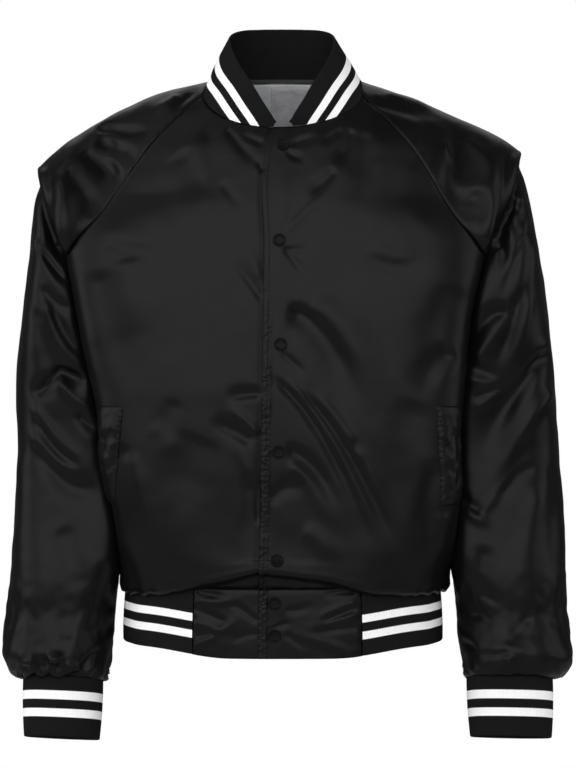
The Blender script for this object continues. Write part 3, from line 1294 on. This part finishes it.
BAND_HEIGHT, BAND_FRONT_DROP = 60.0, 20.0
BAND_BOW, BAND_ROLL = 2.5, 0.6
BAND_FRONT = (0.3, 0.9)  # how squarely the seam faces forwards where the drop begins and is whole
BAND_ROWS, BAND_TURNS_AT = 14, 0.98  # the share of its height at which it folds over
REST_POINTS = 80  # of the seam between a tab and the side
TAB_COLUMNS = {"left": 60, "right": 62}
TAB_ROWS = 34
LEFT_TAB_SHARE, RIGHT_TAB_SHARE = 5 / 12, 4 / 12  # of the way from the front edge to the side seam
BAND_STRIPES = ((19.4, 28.8), (38.6, 48.0))
TAB_CREASES = table(
    CREASE_COLUMNS,
    # drawn by the rib at the wearer's right
    (-103, -591, -88, -595, -62, -597, 3, -2.4, 0.3),
    (-103, -602, -76, -607, -40, -600, 4, 1.5, 0),
    (-103, -612, -84, -618, -56, -632, 4, -1.8, 0.2),
    (-103, -628, -86, -630, -60, -642, 4, 1.3, 0),
    (-103, -645, -84, -640, -56, -640, 3.6, -1.8, 0.2),
    (-103, -657, -76, -642, -44, -618, 5, 2, 0),
    (-28, -628, -44, -614, -66, -602, 3.6, -2, 0.2),
    (-28, -640, -44, -640, -64, -652, 4, -1.4, 0),
    # and at the wearer's left
    (87, -593, 66, -591, 42, -596, 3, -2.4, -0.3),
    (87, -604, 64, -608, 30, -628, 4, 2, 0),
    (87, -611, 66, -617, 30, -636, 3.4, -2, 0.2),
    (87, -620, 62, -624, 14, -637, 4, 1.8, 0),
    (87, -634, 66, -634, 28, -642, 3.4, -2, 0.2),
    (87, -666, 54, -650, 8, -639, 5, 1.8, 0),
    (2, -612, 18, -618, 40, -604, 4, -1.4, 0),
    (2, -640, 14, -648, 30, -660, 4, -1.4, 0),
    (-18, -637, -6, -630, 12, -626, 2.2, -2.4, 0.4),
)


def band_rows(top, count, last=1.0):
    """Rows below a stretch of the waistband seam."""
    outwards = unit(top * np.array([1.0, 1.0, 0.0]))
    frontal = ease((-outwards[:, 1] - BAND_FRONT[0]) / (BAND_FRONT[1] - BAND_FRONT[0]))
    height = BAND_HEIGHT + BAND_FRONT_DROP * frontal
    rows = []
    for share in np.linspace(0, last, count):
        row = top + outwards * BAND_BOW * np.sin(share * np.pi * BAND_ROLL)
        row[:, 2] -= height * share
        rows.append(row)
    return np.array(rows)


def part_of(row, begin, end, count):
    """A stretch of a seam, evenly divided."""
    return divide(row, np.linspace(begin, end, count))


waist_left, waist_right = left_rows[-1], right_rows[-1]
rest_right = part_of(waist_right, RIGHT_TAB_SHARE, 1, REST_POINTS)
rest_left = part_of(waist_left, LEFT_TAB_SHARE, 1, REST_POINTS)
waist_line = np.concatenate([rest_right, back_rows[-1][1:], rest_left[::-1][1:]])
waist_line = divide(waist_line, np.linspace(0, 1, rib_count(lengths(waist_line)[-1]) + 1))
points, from_fold = folded(band_rows(waist_line, BAND_ROWS, BAND_TURNS_AT), True)
band = grid_mesh("waistband_rib_knit", points, True, lengths(waist_line), from_fold)
band.data.materials.append(make_rib("waistband rib", BAND_STRIPES))
wear(band, "waistband_rib")


def tab(side, top, column_by_row):
    grid = band_rows(top, TAB_ROWS)
    out = normals_of(grid, column_by_row)
    free = pressed(grid)
    lift = creased(grid, out, TAB_CREASES, -1) * free
    lift += (unevenness(grid, 0.45, 26.0, 41) + unevenness(grid, 0.3, 11.0, 43)) * free
    across, down = distances(grid, 1), distances(grid, 0)
    to_rib = across[:, -1:] - across
    lift += seam_groove(to_rib, down) * 0.8 - 1.0 * np.exp(-((down / 3.0) ** 2))
    grid = grid + out * lift[..., None]
    piece = grid_mesh(f"tab_{side}_satin", grid, column_by_row, across, down)
    pucker = ease((12.0 - across) / 5.0) if side == "left" else 0 * across
    make_up(piece, pucker * 0.8, across if side == "left" else across + NO_STITCHING)
    wear(piece, f"tab_{side}")
    return grid, out


left_top = part_of(waist_left, 0, LEFT_TAB_SHARE, TAB_COLUMNS["left"])
LEFT_TAB, left_tab_out = tab("left", left_top, False)
# the right tab starts beneath the left one, as the right front does
lapped = (waist_left - left_out[-1] * LAP_DROP)[lap_columns]
right_top = np.concatenate([lapped, part_of(waist_right, 0, RIGHT_TAB_SHARE, 50)])
right_top = part_of(right_top, 0, 1, TAB_COLUMNS["right"])
tab("right", right_top, True)

# ---------------------------------------------------------------- the snaps
# Seven snaps with round caps of pressed metal, enamelled black: a flat field inside a raised
# ring. Each cap is riveted through the edge of the left front or of the left tab.

FRONT_SNAPS = 5  # the others are on the tab
SNAP_SIDES = 48
SNAP_PROFILE = (
    (0.0, 1.4), (2.2, 1.35), (4.2, 1.3), (5.0, 1.5), (5.6, 2.4), (6.2, 2.9),
    (6.9, 2.7), (7.4, 2.0), (7.5, 1.1), (7.3, 0.3), (6.8, 0.0),
)
SNAP_SEAT = 0.1


def make_enamel():
    """Glossy black enamel, faintly uneven, with fine rub marks."""
    material, tree, shader = new_material("black enamel", 0.3)
    speck = noise_of(tree, 420.0)
    colour = ramp(tree, speck, (0.3, (0.003, 0.003, 0.003)), (0.75, (0.006, 0.006, 0.006)))
    dress(tree, shader, colour, (speck, 0.03, 0.6))
    rough = math_node(tree, "ADD", times(tree, speck, 0.16), 0.2)
    tree.links.new(rough, shader.inputs["Roughness"])
    shader.inputs["Specular IOR Level"].default_value = 0.045
    return material


ENAMEL = make_enamel()


def nearest(grid, x, z):
    """The row and column of the point that lies nearest in the front view."""
    far = np.hypot(grid[..., 0] - x, grid[..., 2] - z)
    return np.unravel_index(np.argmin(far), far.shape)


def snap(number, grid, out, x, z):
    """A cap turned about the cloth's normal at its seat."""
    r, c = nearest(grid, x, z)
    seat, normal = grid[r, c] + out[r, c] * SNAP_SEAT, Vector(out[r, c])
    bm = bmesh.new()
    verts = [bm.verts.new((radius * MM, 0.0, height * MM)) for radius, height in SNAP_PROFILE]
    edges = [bm.edges.new(pair) for pair in zip(verts, verts[1:])]
    bmesh.ops.spin(
        bm, geom=verts + edges, cent=(0, 0, 0), axis=(0, 0, 1), angle=2 * np.pi, steps=SNAP_SIDES,
        use_merge=True,
    )
    bmesh.ops.remove_doubles(bm, verts=bm.verts, dist=1e-6)
    open_edges = [edge for edge in bm.edges if edge.is_boundary]
    bmesh.ops.contextual_create(bm, geom=open_edges)
    bmesh.ops.recalc_face_normals(bm, faces=bm.faces)
    turn = Vector((0.0, 0.0, 1.0)).rotation_difference(normal).to_matrix().to_4x4()
    bmesh.ops.transform(bm, matrix=Matrix.Translation(Vector(seat) * MM) @ turn, verts=bm.verts)
    cap = to_object(bm, f"snap_{number}_cap")
    cap.data.materials.append(ENAMEL)
    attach(cap, "root")
    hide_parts(f"snap_{number}")


for number, (x, z) in enumerate(zip(SNAPS["x"], SNAPS["z"]), start=1):
    if number <= FRONT_SNAPS:
        snap(number, LEFT_FRONT, left_out, x, z)
    else:
        snap(number, LEFT_TAB, left_tab_out, x, z)

# ---------------------------------------------------------------- inside the neck
# What shows through the neck: the pale lining of the back, a silver-grey woven label sewn on with
# its ends open, left blank, and the black tape over the neck seam.

LINING_ROWS = 15
LINING_WALL, LABEL_WALL, TAPE_WALL = 0.8, 0.5, 0.7
LINING_GAP = 0.4  # between the back's wall and the lining
LABEL_INSET, TAPE_INSET = 3.3, 3.4  # from the back's wall, and from the collar's outer face
SIDE_SKIP = 6  # columns of the back that the lining leaves out at each side
LABEL = {"left": -15.0, "right": 39.0, "top": 12.0, "bottom": -44.0}
LABEL_POINTS = 40
TAPE_HEIGHT = 5.0
TAPE_FROM_Y = 40.0


def make_label():
    """Silver-grey woven label, blank, with a stitched border."""
    material, tree, shader = new_material("blank label", 0.5)
    around, along = read_uv(tree)
    run = math_node(tree, "ADD", around, along)
    edge = read_number(tree, "edge")
    weave = use(tree, WEAVE, Pitch=0.7, Mottle_Size=12.0)
    stitch = use(tree, TOPSTITCH, Distance=edge, Run=run, Inset=1.6, Stitch=2.2)
    thread = times(tree, stitch.outputs["Thread"], 0.5)
    colour = ramp(
        tree,
        math_node(tree, "ADD", times(tree, weave.outputs["Mottle"], 0.5), thread),
        (0.15, (0.31, 0.31, 0.33)),
        (0.35, (0.38, 0.38, 0.4)),
        (0.9, (0.52, 0.52, 0.54)),
    )
    threads = weave.outputs["Threads"]
    dress(tree, shader, colour, (stitch.outputs["Height"], 0.25, 1.0), (threads, 0.05, 0.8))
    return material


# off-white lining satin, and black twill tape
WHITE_LINING, _ = make_cloth(
    "white lining", 0.45, 0.5, 20.0, (0.38, 0.39, 0.4), (0.48, 0.49, 0.5),
    (("Mottle", 1.2, 0.6), ("Threads", 0.03, 0.6)),
)
TAPE, _ = make_cloth(
    "neck tape", 0.6, 0.8, 8.0, (0.0035, 0.0035, 0.0037), (0.007, 0.007, 0.0072),
    (("Threads", 0.08, 1.0),),
)

lining_end = int(round(back_knots[LINING_ROWS]))
inner_back = BACK - back_out * (SATIN_WALL + LINING_GAP)
inner_back = inner_back[: lining_end + 1, SIDE_SKIP:-SIDE_SKIP]
lining = grid_mesh("lining_cloth", inner_back, True)
thicken(lining, LINING_WALL, WHITE_LINING)
wear(lining, "lining")

label_x = np.linspace(LABEL["right"], LABEL["left"], LABEL_POINTS)
label_z = np.linspace(LABEL["top"], LABEL["bottom"], LABEL_POINTS)
label_points = np.empty((LABEL_POINTS, LABEL_POINTS, 3))
for i, z in enumerate(label_z):
    for j, x in enumerate(label_x):
        label_points[i, j] = (x, BACK[nearest(BACK, x, z)][1], z)
label_points[..., 1] -= SATIN_WALL + LABEL_INSET
around, along = distances(label_points, 1), distances(label_points, 0)
label = grid_mesh("label_cloth", label_points, False, around, along)
to_side = np.minimum(around, around[:, -1:] - around)
add_number(label, "edge", np.minimum(to_side, np.minimum(along, along[-1:] - along)))
thicken(label, LABEL_WALL, make_label())
wear(label, "label")

behind = np.flatnonzero(neck_line[:, 1] > TAPE_FROM_Y)
seam, above = neck_line[behind], np.array(collar_rows)[1][behind]
outwards = normals_of(np.array(collar_rows), False)[0][behind]
tape_up = unit(above - seam)
tape_points = []
for height in np.linspace(-0.5, TAPE_HEIGHT, 6):
    tape_points.append(seam + tape_up * height - outwards * TAPE_INSET)
tape = grid_mesh("neck_tape_cloth", np.array(tape_points), False)
thicken(tape, TAPE_WALL, TAPE)
wear(tape, "neck_tape")

# ---------------------------------------------------------------- floor, light and camera
# The jacket hangs in front of a white sweep, above a pale floor. A large softbox behind the
# camera reaches upwards from the height of the belly, with a dimmer one beneath it, so that the
# satin is lighter above than below. Softboxes at both sides draw the folds.

FLOOR_RADIUS, FLOOR_Z = 2.6, -1.45


def make_floor():
    """Pale matte floor paint with faint wear."""
    material, tree, shader = new_material("floor paint", 0.85)
    colour = ramp(tree, noise_of(tree, 3.0), (0.3, (0.74, 0.74, 0.74)), (0.7, (0.8, 0.8, 0.8)))
    tree.links.new(colour, shader.inputs["Base Color"])
    return material


bm = bmesh.new()
bmesh.ops.create_circle(bm, cap_ends=True, segments=96, radius=FLOOR_RADIUS)
bmesh.ops.translate(bm, verts=bm.verts, vec=(0.0, 0.0, FLOOR_Z))
floor = to_object(bm, "floor")
floor.data.materials.append(make_floor())


def softbox(name, place, aim, size, radiance):
    """A rectangular light of even radiance."""
    data = bpy.data.lights.new(name, "AREA")
    data.shape = "RECTANGLE"
    data.size, data.size_y = size
    data.energy = radiance * np.pi * size[0] * size[1]
    light = bpy.data.objects.new(name, data)
    light.location = place
    light.rotation_euler = (Vector(aim) - Vector(place)).to_track_quat("-Z", "Y").to_euler()
    bpy.context.scene.collection.objects.link(light)


softbox("front box", (-0.6, -3.1, 0.94), (-0.6, 0.0, 0.94), (4.3, 2.8), 2.85)
softbox("low box", (-0.45, -3.1, -0.98), (-0.45, 0.0, -0.98), (4.6, 0.9), 0.65)
softbox("left box", (2.9, -1.1, 0.82), (0.0, -1.1, 0.82), (2.6, 3.2), 1.7)
softbox("right box", (-2.9, -1.1, 0.82), (0.0, -1.1, 0.82), (2.6, 3.2), 2.4)
softbox("top box", (-1.3, -0.8, 2.3), (-0.9, -0.4, -0.2), (2.4, 2.0), 0.85)
softbox("back box", (0.0, 2.8, 1.9), (0.0, 0.0, -0.3), (3.0, 1.4), 0.95)

world = bpy.data.worlds.new("white sweep")
world.use_nodes = True
bpy.context.scene.world = world
tree = world.node_tree
plain = tree.nodes["Background"]
plain.inputs["Color"].default_value = (0.08, 0.08, 0.082, 1.0)
seen = tree.nodes.new("ShaderNodeBackground")
seen.inputs["Color"].default_value = (1.0, 1.0, 1.0, 1.0)
ray = tree.nodes.new("ShaderNodeLightPath")
either = tree.nodes.new("ShaderNodeMixShader")
tree.links.new(ray.outputs["Is Camera Ray"], either.inputs[0])
tree.links.new(plain.outputs[0], either.inputs[1])
tree.links.new(seen.outputs[0], either.inputs[2])
tree.links.new(either.outputs[0], tree.nodes["World Output"].inputs["Surface"])

camera_data = bpy.data.cameras.new("camera")
camera_data.lens = 93.75
camera_data.sensor_width = 36.0
camera = bpy.data.objects.new("camera", camera_data)
camera.location = (0.006, -2.4, -0.355)
camera.rotation_euler = (np.pi / 2, 0.0, 0.0)
bpy.context.scene.collection.objects.link(camera)
bpy.context.scene.camera = camera
bpy.context.scene.view_settings.view_transform = "Standard"
